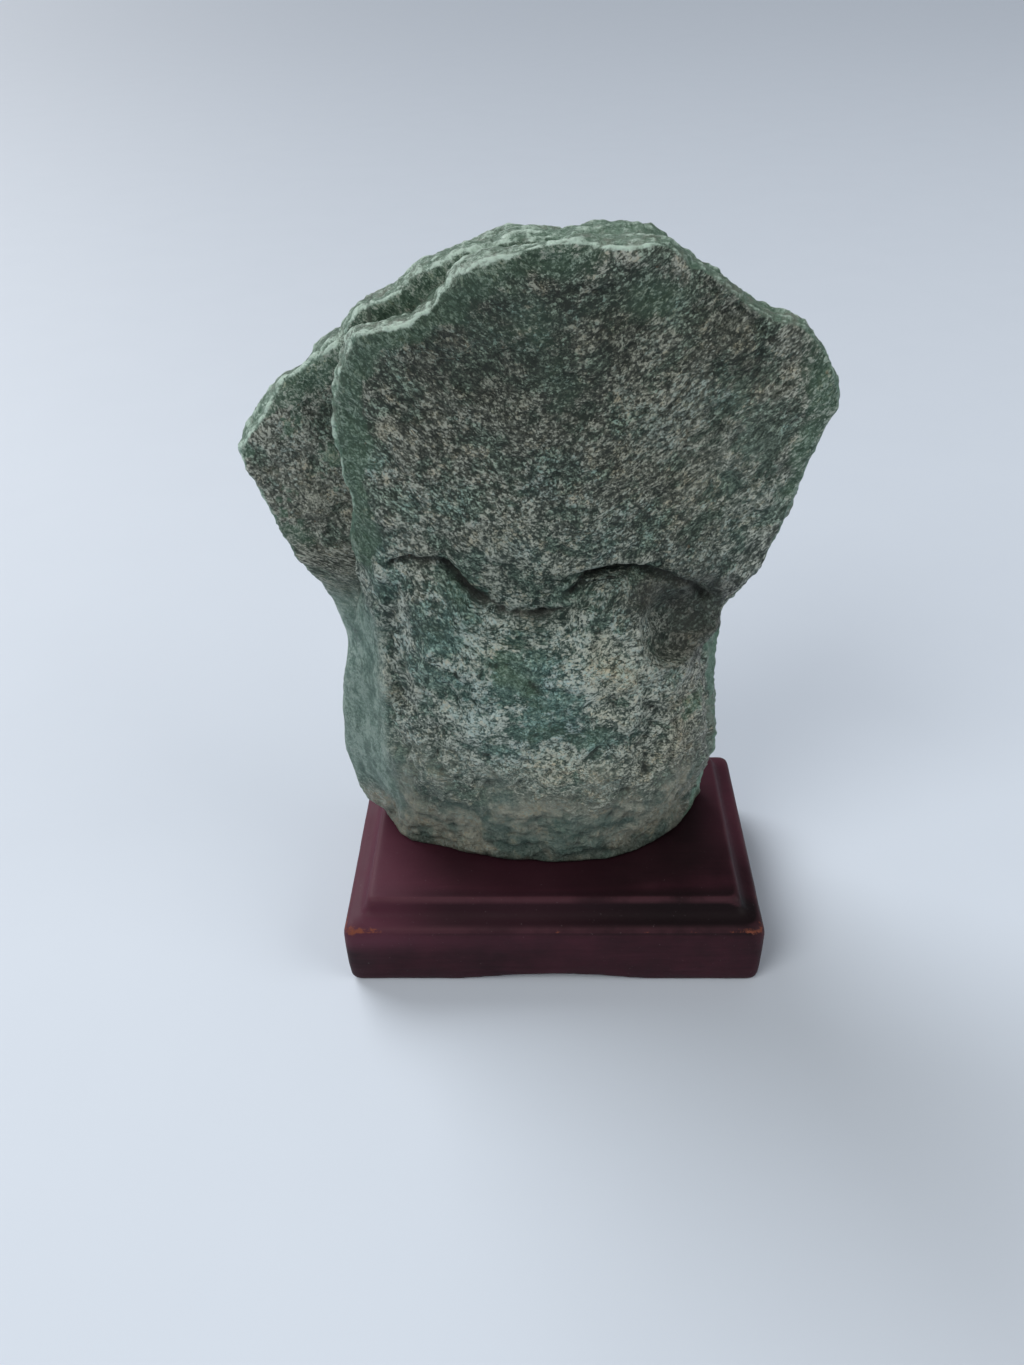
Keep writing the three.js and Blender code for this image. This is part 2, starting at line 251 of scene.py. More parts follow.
green, veil, mint, warm, slate = (
    np.clip(patches(plan, spots) * front, 0, 1) for spots in (GREEN, VEIL, MINT, WARM, SLATE))
beige = patches(plan, BEIGE) * front
pale = np.clip(patches(plan, PALE) * np.maximum(front, x < -36), 0, 1)
stump = rise(-z, -92, -82) * front

# The crust stands a little proud of the bare mica.
crust = 0.6 * grain(wavy, 5.5, 30.1) + 0.45 * grain(wavy, 2.4, 31.7) + 0.25 * grain(middle, 1.3, 33.3)
crust += 0.1 + 0.9 * pale - 1.1 * green

# Slow swells, then the crumbled scales, then each thin layer broken off a little lower than the last.
lift = 0.3 * grain(middle, 10, 5.5) + 0.2 * np.abs(grain(wavy, 3.1, 8.1)) + 0.15 * grain(middle, 1.4, 2.2)
lift += stump * (0.75 * grain(middle, 8.5, 63.0) + 0.6 * np.abs(grain(middle, 4.2, 57.0)) - 1.3)
lift += flatness * 0.35 * rise(crust, -0.15, 0.15)
layers = 1.5 * grain(wavy, 15, 40.7) + 0.7 * grain(wavy, 5.2, 12.3) + 0.5 * grain(wavy, 2.1, 4.4)
step = layers - np.floor(layers)
lift += flatness * (0.34 + 0.2 * stump) * (np.floor(layers) + rise(step, 0.42, 0.58))

# The rims: the edges of the leaves, some standing out and some broken back.
leaves = (y + 0.9 * grain(middle, 13, 9.9) + 0.25 * grain(middle, 3, 19.9)) / 1.9
leaf = np.floor(leaves)
edges_out = [
    grain(np.column_stack([x, (leaf + k) * 37.0, z]), 6.5, 21.3)
    - 0.8 * np.abs(grain(np.column_stack([x, (leaf + k) * 37.0, z]), 2.2, 51.3)) for k in (0, 1)
]
through = leaves - leaf
ragged = edges_out[0] + (edges_out[1] - edges_out[0]) * rise(through, 0.82, 1)
split = np.exp(-(((through - 0.92) / 0.1) ** 2)) + np.exp(-(((through + 0.08) / 0.1) ** 2))
lift += (1 - flatness) * (0.45 * ragged - 0.25 * split + 0.1 * grain(middle, 1.3, 71.0))
lift *= (1 - 0.75 * sweep) * (1 - 0.6 * scoop)

skin += out * (lift * free)[:, None]

# The clefts: the long one between the upper face and the stump, the small splits round it, and the
# soft grooves and the one low ridge that shape the stump's corners.  Each is (depth, half width, line).
CLEFTS = [
    (1.8, 0.9, [(-29, 94.3), (-25.5, 94.6), (-21.5, 94), (-17.8, 91), (-14.6, 86.6), (-11.5, 83.8),
                (-7.5, 82.5), (-2, 82), (2, 82.8), (5.5, 84.8)]),
    (2.2, 1.0, [(4, 87), (7, 89.6), (12, 91.4), (17, 91.2), (22, 90), (26, 88.2), (29, 84.5)]),
    (0.5, 0.5, [(-10, 79.6), (-6.5, 79), (-3.5, 79.4)]),
    (0.7, 0.5, [(-29.5, 93.8), (-25.5, 93.4)]),
    (1.2, 1.6, [(19, 68.5), (18.8, 65), (19.4, 61), (18, 55), (18.6, 49)]),
    (1.1, 1.8, [(-28.5, 87), (-29.6, 78), (-29, 70), (-30, 62)]),
    (-1.0, 1.7, [(-32, 92), (-33.5, 82), (-33, 70), (-34.5, 58), (-33.5, 44)]),
    (0.8, 0.6, [(24, 143), (28, 139.4), (31.5, 137.4), (36, 133.6)]),
    (0.5, 0.5, [(-20, 74), (-17.5, 72.4), (-15.6, 72.8)]),
    (0.5, 0.5, [(8, 74.5), (12, 75.4), (16, 73.6), (18, 70)]),
]
x, y, z = (skin - centre).T
facing = rise(-out[:, 1], 0.1, 0.5) * (y < 0)
wander = np.column_stack([grain(middle, 4, 61.0), grain(middle, 4, 77.0)]) * 0.45
for depth, width, line in CLEFTS:
    reach = line_distance(np.column_stack([x, z]) + wander, line)
    skin[:, 1] += facing * depth * np.exp(-((reach / width) ** 2))

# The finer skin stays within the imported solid's own box, and is eased where it comes near its front.
NEAR = 1.2
room = skin[:, 1] - rock_low.y / MM
skin[:, 1] = rock_low.y / MM + np.where(room < NEAR, NEAR * np.exp(np.minimum(room / NEAR - 1, 0)), room)
skin = np.clip(skin, np.array(rock_low) / MM, np.array(rock_high) / MM)
set_places(rock.data, skin)

# What the material reads: the rims, the hollows, the crests, and the patches of the front.  The shelf
# under the lip faces up as the rims do, but it isn't one.
SHELF = [(-14, 86, 9, 5, 1), (0, 83, 10, 5, 1), (14, 87, 11, 6, 1), (24, 82, 8, 9, 1)]
out = directions(rock.data)
x, y, z = (skin - centre).T
shelf = np.clip(patches(plan, SHELF), 0, 1)
quiet = (1 - 0.9 * np.maximum(shelf, rise(-z, -97, -92)) * front) * (1 - 0.8 * sweep)
turned = neighbour_mean(rock.data, 1 - np.abs(out[:, 1]), 8)
rim = rise(turned, 0.24, 0.5) * quiet
# Painted light: the rims that face up are painted paler, a little less so in a few places.
upward_light = rise(neighbour_mean(rock.data, out[:, 2], 6), 0.2, 0.65) * (1 - 0.3 * (y > 1.3) * rise(-x, 6, 20))
upward_light *= (1 - 0.4 * rise(x, -14, -2) * rise(z, 134, 142)) * (1 - 0.4 * rise(x, 16, 24))
swell = np.einsum("ij,ij->i", skin - neighbour_mean(rock.data, skin, 6), out)
broad_swell = np.einsum("ij,ij->i", skin - neighbour_mean(rock.data, skin, 50), out)

# The mica is cleaner and greener in a band inside the leaves' upper edges.
FRONT_EDGE = [
    (-37, 92), (-37, 118), (-36.6, 130), (-31, 136.4), (-22, 138.8), (-17, 143.2), (-10, 147.2),
    (4, 149), (18, 149.5), (24, 144.5), (33, 138.6), (42.4, 134), (46.8, 125.5), (46, 117), (43.6, 106),
]
REAR_EDGE = [
    (-50, 95), (-57, 113), (-49.6, 121.6), (-39.4, 131), (-30, 138), (-20, 143.6), (-11, 147.4), (5, 149),
]
flat_plan = np.column_stack([x, z])
inner = np.where(y < 1.4, line_distance(flat_plan, FRONT_EDGE), line_distance(flat_plan, REAR_EDGE))
inner -= 1.6 * (y > 1.4) * rise(-x, 20, 32)
band = 1 - rise(inner + 1.6 * grain(middle, 5, 13.0) + 0.8 * grain(middle, 1.8, 15.0), 2.6, 6.5)
band *= rise(z, 88, 96) * (y < 9) * (1 - 0.8 * rise(x, 2, 14) * rise(-x, -44, -38))

# A pale broken line of painted highlight runs along the edges of the two front leaves.
fringe = np.exp(-(((turned - 0.36) / np.where(turned < 0.36, 0.17, 0.34)) ** 2)) * rise(z, 92, 106) * (y < 9)
fringe *= (1 - rise(inner, 1.5, 3.5)) * (0.55 + 0.5 * rise(grain(middle, 4, 87.0), -0.6, 0.5))
fringe *= 1 - 0.8 * rise(x, 15, 23)
fringe *= 0.6 + 0.55 * rise(grain(middle, 1.5, 89.0), -0.45, 0.45)
store(rock.data, "fringe", fringe)
store(rock.data, "trains", np.column_stack([trains[:, 0], y, rising]) + 0.3 * waver)
store(rock.data, "rim", rim)
store(rock.data, "upward_light", upward_light)
store(rock.data, "band", band)
store(rock.data, "sweep", sweep)

# Painted shade, with some brown dirt, darkens the hollows, above all the scoop in the lip's shadow.
upper = 1 - 0.8 * rise(z, 117, 128)
SHADED = [(30, 82, 6, 9, 1), (24, 86, 7, 5, 0.8), (18.5, 87, 4, 3, 0.5), (25.5, 76.5, 6, 4, 0.55)]
shaded = np.clip(patches(flat_plan, SHADED), 0, 0.8) * rise(-y, -1, 3)
soft = 1 - 0.85 * np.clip(patches(flat_plan, [(23, 72, 5, 5, 1)]), 0, 1) * front
store(rock.data, "hollow", rise(-broad_swell, 0.35, 1.4) * (1 - sweep) * (1 - 0.5 * scoop) * upper * soft)
store(rock.data, "cavity", np.clip(rise(-swell, 0.16, 0.6) * (1 - 0.6 * scoop) * soft + shaded, 0, 1) * upper)

# The scales are more even in tone in some places and towards the foot, and painted contact shade
# darkens the foot's lowest few millimetres.
CALM = [
    (32, 116, 13, 20, 0.42), (-46, 105, 10, 16, 0.3), (28, 58, 5, 16, 0.2), (-14, 134, 20, 8, 0.2),
]
calm = patches(flat_plan, CALM) + 0.7 * rise(62 - z + 5 * grain(middle, 9, 83.0), 0, 28) * front
store(rock.data, "vivid", 1 - np.clip(calm, 0, 0.7))
store(rock.data, "earthy", rise(56 - z + 9 * grain(middle, 9, 83.0), 0, 25) * 0.8 * (1 - sweep))
store(rock.data, "foot_shade", rise(foot + 5 - z + 1.5 * grain(middle, 4, 45.0), 0, 5) * (1 - sweep))
store(rock.data, "crest", rise(swell, 0.04, 0.22) * quiet)
# Painted shade in the small pits and painted light on the small bumps.
store(rock.data, "relief_shade", rise(-swell, 0.02, 0.2) * (1 - 0.7 * sweep) - 0.7 * rise(swell, 0.02, 0.2))
for name, values in (
    ("green", green), ("pale", pale), ("veil", veil), ("mint", mint), ("warm", warm), ("slate", slate),
    ("crust", crust), ("beige", beige),
):
    store(rock.data, name, values)
for face in rock.data.polygons:
    face.use_smooth = True


def new_material(name):
    """An empty material and its node tree."""
    material = bpy.data.materials.new(name)
    material.use_nodes = True
    material.node_tree.nodes.clear()
    return material, material.node_tree


def join(tree, socket, value):
    """Links a socket to another's output, or sets its value."""
    if isinstance(value, bpy.types.NodeSocket):
        tree.links.new(value, socket)
    elif socket.type == "RGBA":
        socket.default_value = (*value, 1)
    else:
        socket.default_value = value


def add(tree, kind, settings=None, **inputs):
    """Adds a node with its settings, and its inputs by name, with _ for a space."""
    node = tree.nodes.new(kind)
    for name, value in (settings or {}).items():
        setattr(node, name, value)
    for name, value in inputs.items():
        join(tree, node.inputs[name.replace("_", " ")], value)
    return node


def read(tree, name):
    """A number kept on the mesh."""
    return add(tree, "ShaderNodeAttribute", {"attribute_name": name}).outputs["Fac"]


def ramp(tree, factor, stops):
    """Colours along a 0 to 1 value."""
    node = add(tree, "ShaderNodeValToRGB", Fac=factor)
    elements = node.color_ramp.elements
    while len(elements) > 1:
        elements.remove(elements[-1])
    elements[0].position, elements[0].color = stops[0][0], (*stops[0][1], 1)
    for place, colour in stops[1:]:
        elements.new(place).color = (*colour, 1)
    return node.outputs["Color"]


def between(tree, factor, low, high, start=0.0, end=1.0):
    """A value eased from start to end while factor goes from low to high."""
    node = add(tree, "ShaderNodeMapRange", {"interpolation_type": "SMOOTHSTEP"})
    for name, value in (
        ("Value", factor), ("From Min", low), ("From Max", high), ("To Min", start), ("To Max", end),
    ):
        join(tree, node.inputs[name], value)
    return node.outputs["Result"]


def maths(tree, operation, a, b):
    """A sum, difference or the like of two values."""
    node = add(tree, "ShaderNodeMath", {"operation": operation})
    join(tree, node.inputs[0], a)
    join(tree, node.inputs[1], b)
    return node.outputs[0]


def times(tree, a, b):
    """One value times another."""
    return maths(tree, "MULTIPLY", a, b)


def vector_maths(tree, operation, *terms):
    """The same for two or three vectors."""
    node = add(tree, "ShaderNodeVectorMath", {"operation": operation})
    for socket, term in zip(node.inputs, terms):
        join(tree, socket, term)
    return node.outputs[0]


def weigh(tree, *terms):
    """The sum of values, each with its weight."""
    total = 0.0
    for value, weight in terms:
        total = maths(tree, "ADD", times(tree, value, weight), total)
    return total


def over(tree, factor, under, top, how="MIX"):
    """One colour laid over another."""
    node = add(tree, "ShaderNodeMix", {"data_type": "RGBA", "blend_type": how})
    for index, value in ((0, factor), (6, under), (7, top)):
        join(tree, node.inputs[index], value)
    return node.outputs[2]


def tinted(tree, factor, colour, tint):
    """A colour multiplied by a tint, as far as the factor says."""
    return over(tree, factor, colour, over(tree, 1.0, colour, tint, "MULTIPLY"))


def clouds(tree, where, size, detail=2.0, rough=0.6, distortion=0.0):
    """Cloudy values from 0 to 1, with size in the units of where: metres for places, mm for trains."""
    return add(
        tree, "ShaderNodeTexNoise", Vector=where, Scale=1 / size, Detail=detail, Roughness=rough,
        Distortion=distortion,
    ).outputs["Fac"]


fuchsite, tree = new_material("fuchsite")
place = add(tree, "ShaderNodeTexCoord").outputs["Object"]
along = add(tree, "ShaderNodeAttribute", {"attribute_name": "trains"}).outputs["Vector"]

rim, upward_light, band, sweep = (read(tree, name) for name in ("rim", "upward_light", "band", "sweep"))
hollow, cavity, crest, relief_shade = (read(tree, name) for name in ("hollow", "cavity", "crest", "relief_shade"))
green, pale, veil, mint, crust = (read(tree, name) for name in ("green", "pale", "veil", "mint", "crust"))
beige, warm, slate, earthy = (read(tree, name) for name in ("beige", "warm", "slate", "earthy"))
wide = clouds(tree, place, 9 * MM, 4.0, 0.6, 0.4)
tint = clouds(tree, place, 4.5 * MM, 3.0, 0.65)
middling = clouds(tree, along, 2.3, 3.0, 0.6)
lumps = clouds(tree, along, 1.7, 3.0, 0.6)
crumbs = clouds(tree, along, 0.6, 4.0, 0.7)

# The scales: ragged cells of three sizes, each with a random value and tilt.
fray = add(tree, "ShaderNodeTexNoise", Vector=along, Scale=5.0, Detail=3.0)
frayed = vector_maths(tree, "MULTIPLY_ADD", fray.outputs["Color"], (0.24, 0.24, 0.24), along)
broad, big, small = (
    add(tree, "ShaderNodeTexVoronoi", {"feature": "F1"}, Vector=frayed, Scale=1 / size).outputs["Color"]
    for size in (1.1, 0.45, 0.24)
)
broad_value, big_value, small_value = (
    add(tree, "ShaderNodeSeparateColor", Color=cells).outputs for cells in (broad, big, small)
)

# How bright each scale is: its own share, that of the crumbs it lies in, and that of the patch.
crusted = between(tree, weigh(
    tree, (crust, 0.4), (middling, 0.5), (lumps, 0.7), (crumbs, 0.5), (small_value[2], 0.15),
), 0.77, 1.03)
bright = weigh(
    tree, (broad_value[0], 0.2), (big_value[0], 0.58), (small_value[0], 0.55), (crumbs, 0.78), (lumps, 0.5),
    (wide, 0.25), (tint, 0.3), (middling, times(tree, mint, 0.9)),
    (crusted, between(tree, mint, 0.0, 1.0, 0.08, 0.18)), (pale, 0.13), (veil, -0.08), (green, -0.05),
    # Painted shade in the pits and painted light on the bumps.
    (relief_shade, -0.14), (mint, -0.46),
)
SUM_MIDDLE, TONE_MIDDLE = 1.61, 0.55
smooth = times(tree, mint, between(tree, crusted, 0.0, 1.0, -0.4, 0.1))
contrast = times(tree, read(tree, "vivid"), maths(tree, "ADD", smooth, 1.0))
bright = times(tree, maths(tree, "SUBTRACT", bright, SUM_MIDDLE), contrast)
bright = maths(tree, "ADD", bright, TONE_MIDDLE)

# Grey scales over the upper face, mint ones over the stump, and bare green mica between the patches.
grey = ramp(tree, bright, [
    (0.25, (0.023, 0.03, 0.022)), (0.43, (0.067, 0.078, 0.06)), (0.55, (0.106, 0.12, 0.094)),
    (0.64, (0.156, 0.173, 0.138)), (0.76, (0.285, 0.309, 0.256)), (0.88, (0.5, 0.525, 0.45)),
])
minty = ramp(tree, bright, [
    (0.28, (0.034, 0.068, 0.06)), (0.45, (0.095, 0.152, 0.13)), (0.55, (0.155, 0.22, 0.188)),
    (0.64, (0.225, 0.292, 0.254)), (0.76, (0.355, 0.43, 0.378)), (0.89, (0.57, 0.645, 0.59)),
])
cleaner = ramp(tree, bright, [
    (0.3, (0.042, 0.085, 0.054)), (0.5, (0.074, 0.138, 0.09)), (0.65, (0.12, 0.203, 0.142)),
    (0.85, (0.25, 0.35, 0.28)),
])
colour = over(tree, mint, grey, minty)
colour = tinted(tree, between(tree, crusted, 0.0, 1.0, 0.75, 0.0), colour, (0.8, 1.04, 0.98))
clean = weigh(tree, (green, 1.0), (band, 0.85), (tint, 0.9), (bright, -0.45))
colour = over(tree, between(tree, clean, 0.55, 1.15, 0.0, 0.92), colour, cleaner)
colour = tinted(tree, times(tree, pale, 0.7), colour, (1.12, 1.02, 0.88))

# The foot is weathered in softer patches of beige and dull green.
mottled = ramp(tree, weigh(tree, (wide, 0.75), (tint, 0.25), (beige, 0.12)), [
    (0.43, (0.058, 0.108, 0.092)), (0.5, (0.145, 0.174, 0.142)), (0.57, (0.295, 0.29, 0.228)),
])
colour = over(tree, times(tree, earthy, 0.8), colour, mottled)

# Some scales are stained brown and some are bluer, singly and in patches.
stained = weigh(tree, (big_value[1], 0.35), (broad_value[1], 0.25), (tint, 1.1), (warm, 0.2))
stained = between(tree, stained, 0.95, 1.15, 0.0, 0.5)
stained = times(tree, stained, between(tree, crusted, 0.0, 1.0, 0.4, 1.0))
colour = tinted(tree, stained, colour, (1.18, 0.98, 0.78))
bluer = weigh(tree, (big_value[2], 0.35), (wide, 1.1), (mint, 0.12), (band, -0.3), (slate, 0.28))
bluer = between(tree, bluer, 0.82, 1.0, 0.0, 0.75)
colour = tinted(tree, bluer, colour, (0.78, 0.95, 1.04))

# Fine brown cracks where the crust is thickest, and a warmer tint beside them.
apart = maths(tree, "ABSOLUTE", maths(tree, "SUBTRACT", clouds(tree, frayed, 2.3, 3.0, 0.65), 0.5), 0.0)
beside = between(tree, weigh(tree, (pale, 0.6), (tint, 1.0)), 0.75, 1.0)
beside = times(tree, between(tree, apart, 0.01, 0.05, 0.8, 0.0), beside)
colour = tinted(tree, beside, colour, (1.06, 0.97, 0.88))
cracks = between(tree, weigh(tree, (pale, 0.6), (wide, 1.0)), 0.75, 0.95, 0.0, 0.7)
cracks = times(tree, between(tree, apart, 0.004, 0.02, 1.0, 0.0), cracks)
colour = over(tree, cracks, colour, (0.045, 0.042, 0.03))

# The broken edges of the leaves: green where they face sideways, pale and crackled where they face up,
# which is a painted highlight, and weathered grey-brown here and there.
layered = add(tree, "ShaderNodeMapping", Vector=along, Scale=(0.5, 1.6, 0.5)).outputs[0]
lines = clouds(tree, layered, 0.9, 5.0, 0.75)
crackle = weigh(
    tree, (lines, 0.62), (crumbs, 0.1), (wide, 0.15), (small_value[1], 0.08), (big_value[1], 0.05),
)
green_edge = ramp(tree, crackle, [
    (0.36, (0.066, 0.134, 0.095)), (0.46, (0.103, 0.196, 0.138)), (0.54, (0.15, 0.257, 0.187)),
    (0.66, (0.285, 0.405, 0.315)),
])
pale_edge = ramp(tree, crackle, [
    (0.37, (0.062, 0.113, 0.074)), (0.45, (0.108, 0.186, 0.127)), (0.52, (0.166, 0.258, 0.19)),
    (0.62, (0.39, 0.52, 0.42)),
])
edge = over(tree, upward_light, green_edge, pale_edge)
weathered = between(tree, weigh(tree, (wide, 0.7), (middling, 0.4)), 0.53, 0.68, 0.0, 0.65)
edge = over(tree, weathered, edge, (0.17, 0.185, 0.145))
colour = over(tree, between(tree, rim, 0.1, 0.7), colour, edge)

# The stump's swept left flank, streaked from top to bottom.
upright = add(tree, "ShaderNodeMapping", Vector=place, Scale=(1.0, 1.0, 0.35)).outputs[0]
streaks = clouds(tree, upright, 2.6 * MM, 5.0, 0.7)
streaked = weigh(tree, (streaks, 0.5), (middling, 0.3), (crumbs, 0.2), (small_value[2], 0.08))
flank = ramp(tree, streaked, [
    (0.45, (0.068, 0.132, 0.106)), (0.53, (0.142, 0.232, 0.19)), (0.6, (0.3, 0.405, 0.35)),
])
colour = over(tree, times(tree, sweep, 0.92), colour, flank)

# A grey-brown film dulls parts of the upper face; a broken white painted highlight lies on the rims' crests.
colour = tinted(tree, times(tree, veil, 0.8), colour, (0.6, 0.61, 0.56))
crest_highlight = weigh(
    tree, (rim, 0.3), (crest, 0.3), (read(tree, "fringe"), 0.45), (upward_light, 0.2), (crackle, 1.1),
    (crumbs, 0.45),
)
crest_highlight = between(tree, crest_highlight, 1.28, 1.72, 0.0, 0.9)
colour = over(tree, crest_highlight, colour, (0.6, 0.765, 0.65))

# Painted shade, with some brown dirt, in the hollows and clefts, and a few rust spots.
colour = over(tree, times(tree, hollow, 0.75), colour, (0.055, 0.065, 0.05))
colour = over(tree, times(tree, cavity, 0.87), colour, (0.032, 0.034, 0.028))
# Painted contact shade at the foot.
colour = over(tree, times(tree, read(tree, "foot_shade"), 0.55), colour, (0.035, 0.034, 0.022))
rust = between(tree, clouds(tree, place, 1.5 * MM, 2.0), 0.72, 0.8, 0.0, 0.4)
colour = over(tree, rust, colour, (0.22, 0.12, 0.055))

# Each scale is tilted its own way, which makes the glints, and the surface between is granular.
normal = add(tree, "ShaderNodeNewGeometry").outputs["Normal"]
for cells, amount in ((big, 0.68), (small, 0.55)):
    tilt = vector_maths(tree, "MULTIPLY_ADD", cells, (amount,) * 3, (-amount / 2,) * 3)
    normal = vector_maths(tree, "NORMALIZE", vector_maths(tree, "ADD", normal, tilt))
height = weigh(tree, (crumbs, 0.9), (lumps, 0.7), (lines, 0.4), (crusted, times(tree, mint, 0.3)))
bumps = add(
    tree, "ShaderNodeBump", Strength=weigh(tree, (earthy, -0.6), (1.0, 0.9)), Distance=0.95 * MM,
    Height=height, Normal=normal,
)

shader = add(
    tree, "ShaderNodeBsdfPrincipled", Base_Color=colour, Normal=bumps.outputs["Normal"],
    Roughness=between(tree, bright, 0.35, 0.8, 0.62, 0.4),
)
surface = add(tree, "ShaderNodeOutputMaterial")
tree.links.new(shader.outputs[0], surface.inputs[0])

rock.data.materials.append(fuchsite)
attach(rock, "root")
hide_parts("fuchsite_rock")


# ---------------------------------------------------------------------------------------------
# The stand.  One block of hardwood with a moulded edge and a shallow arch under each side, stained
# and lacquered a dark ox-blood red.  Its sharp edges are paler, partly dulled lacquer and partly a
# painted highlight, and the lacquer is rubbed through to orange wood at the corners.
# ---------------------------------------------------------------------------------------------

STAND_VOXEL = 0.55 * MM
STAND_SMOOTHING = 2

stand = finer_copy("wooden_stand", "lacquered_stand", STAND_VOXEL, STAND_SMOOTHING)
skin = places(stand.data)
out = directions(stand.data)
middle = skin - centre
eased = neighbour_mean(stand.data, skin, 8)
sharp = np.einsum("ij,ij->i", skin - eased, out)
knocks = rise(grain(middle, 2.6, 33.0) + 0.5 * grain(middle, 9, 3.0), 0.55, 1.15) * rise(sharp, 0.15, 0.45)
skin = skin - out * (0.35 * knocks + 0.04 * grain(middle, 6, 7.0))[:, None]
skin = np.clip(skin, np.array(stand_low) / MM, np.array(stand_high) / MM)
set_places(stand.data, skin)

# The corners rubbed through, each (x, z, half width, half height, amount) on the front.
RUBBED = [
    (-41, 16, 6, 1.0, 0.9), (-38.5, 18.6, 1.2, 1.6, 1.0), (41, 16, 5, 1.1, 0.85), (1, 16, 1, 0.7, 0.8),
    (-20, 16, 2, 0.6, 0.6), (20, 16, 1.5, 0.6, 0.6), (30, 16, 2, 0.6, 0.6),
]
x, y, z = middle.T
rubs = patches(np.column_stack([x, z]), RUBBED) * rise(-y, 15, 20)

# Painted shade darkens the front moulding and the top round the rock's foot, where the rock casts its
# shadow, and painted light makes the left side and the back of the right lighter and pinker.
cove = rise(z, 14.9, 15.6) * rise(-z, -22.2, -20.6) * rise(-y, 18, 22)
round_foot = rise(1.45 - np.hypot((x - 2) / 34, (y + 4) / 15.5), 0, 0.5) * (z > 20)
store(stand.data, "painted_shade", np.maximum(cove, 0.75 * round_foot))
painted_light = 0.25 * rise(-x, -25, 10) + 0.75 * rise(-x, 20, 40) + 0.4 * rise(x, 30, 40) * rise(y, -16, 0)
store(stand.data, "painted_light", painted_light * rise(z, 9, 14))
store(stand.data, "worn", np.clip(rise(sharp, 0.02, 0.1) * (0.2 + 0.8 * rubs), 0, 1))
store(stand.data, "dulled_and_highlit", rise(sharp, 0.035, 0.1) * rise(z, 10, 13))
for face in stand.data.polygons:
    face.use_smooth = True

lacquer, tree = new_material("lacquered_wood")
place = add(tree, "ShaderNodeTexCoord").outputs["Object"]
along = add(tree, "ShaderNodeMapping", Vector=place, Scale=(0.09, 1.0, 1.0)).outputs[0]
fibres = clouds(tree, along, 1.1 * MM, 3.0, 0.65)
blotches = clouds(tree, place, 14 * MM, 4.0, 0.62)
wood = ramp(tree, weigh(tree, (fibres, 0.25), (blotches, 0.75)), [
    (0.35, (0.021, 0.0058, 0.0095)), (0.52, (0.036, 0.0095, 0.0155)), (0.7, (0.056, 0.0155, 0.0245)),
])
# Painted shade, nearly black, on the front moulding and round the rock's foot.
wood = over(tree, times(tree, read(tree, "painted_shade"), 0.95), wood, (0.0075, 0.0037, 0.0046))
# Painted light: lighter and pinker on the left side and the back of the right.
wood = over(tree, times(tree, read(tree, "painted_light"), 0.7), wood, (0.1, 0.027, 0.046))
# Paler along the sharp edges: partly dulled lacquer, partly a painted highlight.
dulled_and_highlit = times(tree, read(tree, "dulled_and_highlit"), between(tree, blotches, 0.35, 0.6, 0.15, 0.55))
wood = over(tree, dulled_and_highlit, wood, (0.09, 0.032, 0.043))
worn = read(tree, "worn")
flaked = between(tree, weigh(tree, (worn, 0.7), (clouds(tree, place, 1.4 * MM, 4.0, 0.7), 0.9)), 0.85, 1.1)
colour = over(tree, flaked, wood, (0.2, 0.06, 0.035))
dust = between(tree, clouds(tree, place, 0.7 * MM, 3.0, 0.6), 0.66, 0.8, 0.0, 0.14)
colour = over(tree, dust, colour, (0.4, 0.34, 0.36))
bumps = add(
    tree, "ShaderNodeBump", Strength=0.3, Distance=0.2 * MM,
    Height=weigh(tree, (fibres, 0.5), (blotches, 2.0)),
)
shader = add(
    tree, "ShaderNodeBsdfPrincipled", Base_Color=colour, Normal=bumps.outputs["Normal"],
    Roughness=between(tree, weigh(tree, (blotches, 1.0), (flaked, 0.5)), 0.35, 0.9, 0.5, 0.68),
)
shader.inputs["Specular IOR Level"].default_value = 0.13
surface = add(tree, "ShaderNodeOutputMaterial")
tree.links.new(shader.outputs[0], surface.inputs[0])

stand.data.materials.append(lacquer)
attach(stand, "root")
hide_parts("wooden_stand")


# ---------------------------------------------------------------------------------------------
# The table it stands on, the soft light of a window behind it to the left, and the camera, which
# looks down at it from close by with a wide lens.
# ---------------------------------------------------------------------------------------------

TABLE_SIZE = 8.0

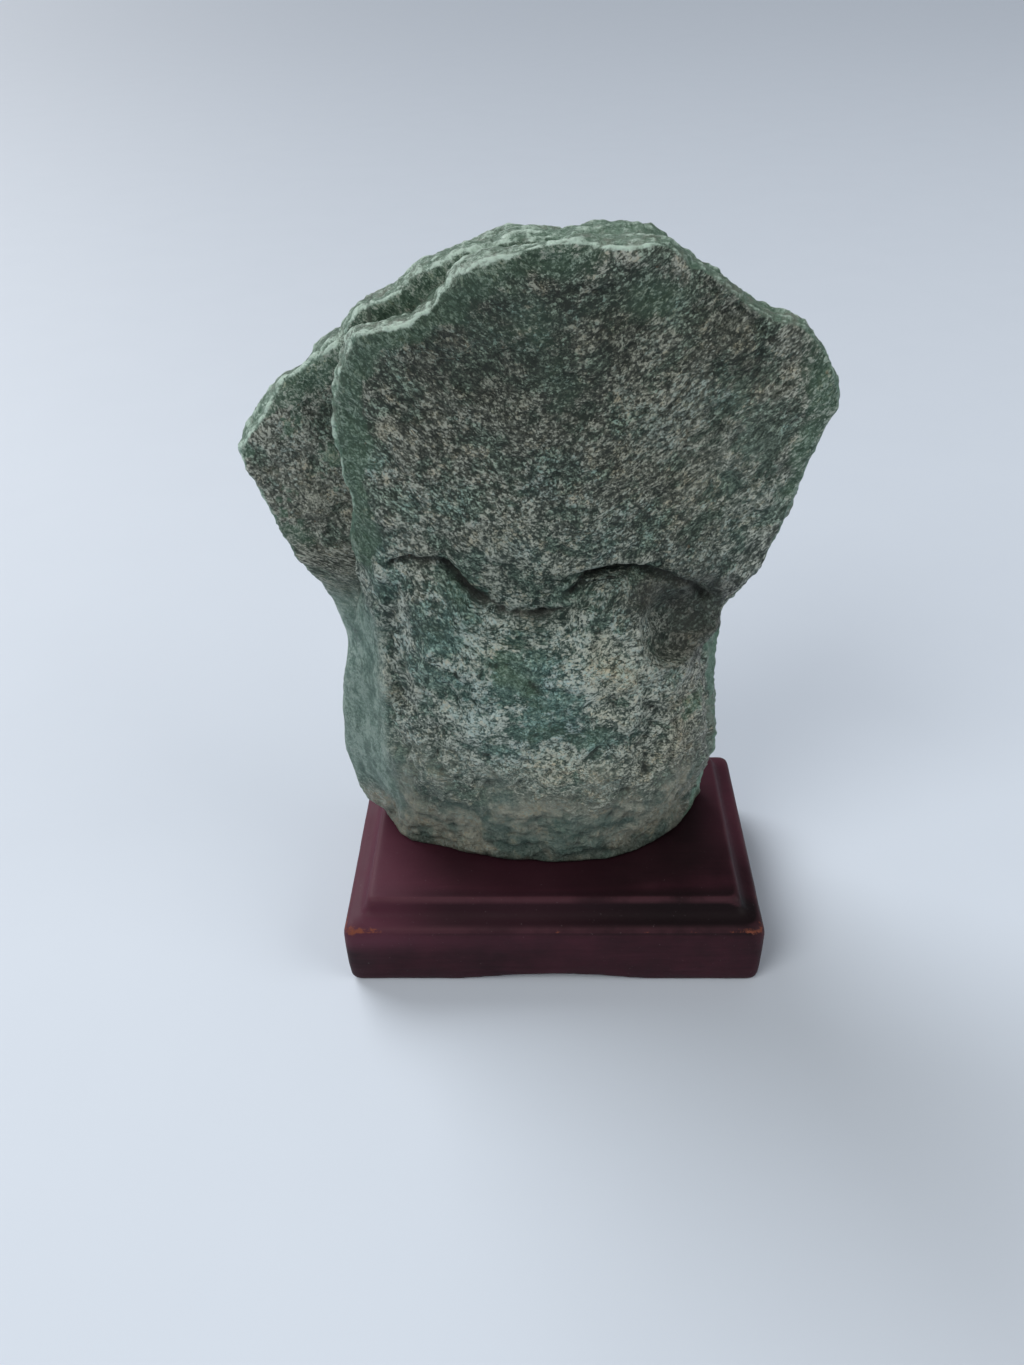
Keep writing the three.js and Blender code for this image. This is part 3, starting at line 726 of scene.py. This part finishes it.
table_top = bmesh.new()
bmesh.ops.create_grid(table_top, x_segments=1, y_segments=1, size=TABLE_SIZE)
mesh = bpy.data.meshes.new("pale_table")
table_top.to_mesh(mesh)
table_top.free()
table = bpy.data.objects.new("pale_table", mesh)
bpy.context.scene.collection.objects.link(table)
white, tree = new_material("white_table")
place = add(tree, "ShaderNodeTexCoord").outputs["Object"]
tone = over(tree, clouds(tree, place, 40 * MM), (0.605, 0.66, 0.735), (0.625, 0.68, 0.755))
shader = add(tree, "ShaderNodeBsdfPrincipled", Base_Color=tone, Roughness=0.6)
surface = add(tree, "ShaderNodeOutputMaterial")
tree.links.new(shader.outputs[0], surface.inputs[0])
table.data.materials.append(white)


def lamp(name, kind, place, power, colour, **settings):
    """A light at a place, turned to the middle of the rock."""
    light = bpy.data.lights.new(name, kind)
    light.energy, light.color = power, colour
    for setting, value in settings.items():
        setattr(light, setting, value)
    holder = bpy.data.objects.new(name, light)
    bpy.context.scene.collection.objects.link(holder)
    holder.location = place
    holder.rotation_euler = (Vector((0, 0, 0.08)) - Vector(place)).to_track_quat("-Z", "Y").to_euler()


lamp("window", "SUN", (-0.75, 0.8, 0.95), 2.15, (0.97, 0.98, 1.0), angle=math.radians(42))
lamp("room", "AREA", (-1.1, -1.1, 1.55), 20.0, (1.0, 0.99, 0.96), shape="DISK", size=1.2)
lamp("far_wall", "AREA", (1.3, -0.5, 0.9), 8.0, (1.0, 0.98, 0.95), shape="DISK", size=1.2)

world = bpy.data.worlds.new("room")
world.use_nodes = True
world.node_tree.nodes["Background"].inputs["Color"].default_value = (0.86, 0.92, 1.0, 1)
world.node_tree.nodes["Background"].inputs["Strength"].default_value = 0.24
bpy.context.scene.world = world
bpy.context.scene.view_settings.view_transform = "Standard"

PITCH, YAW, ROLL = (math.radians(a) for a in (36.63, -2.33, 1.91))
LENS = 27.03
EYE = Vector((-1.1, -170.7, 188.3)) * MM  # from the stand's middle, at table level
ahead = Vector((math.sin(YAW) * math.cos(PITCH), math.cos(YAW) * math.cos(PITCH), -math.sin(PITCH)))
right = Vector((math.cos(YAW), -math.sin(YAW), 0))
down = ahead.cross(right)
right, down = math.cos(ROLL) * right + math.sin(ROLL) * down, math.cos(ROLL) * down - math.sin(ROLL) * right
lens = bpy.data.cameras.new("camera")
lens.lens = LENS
lens.sensor_width = 36
lens.clip_start = 0.01
camera = bpy.data.objects.new("camera", lens)
bpy.context.scene.collection.objects.link(camera)
turn = Matrix((right, -down, -ahead)).transposed().to_4x4()
eye_point = Vector((stand_middle.x, stand_middle.y, 0)) + EYE
camera.matrix_world = Matrix.Translation(eye_point) @ turn
bpy.context.scene.camera = camera
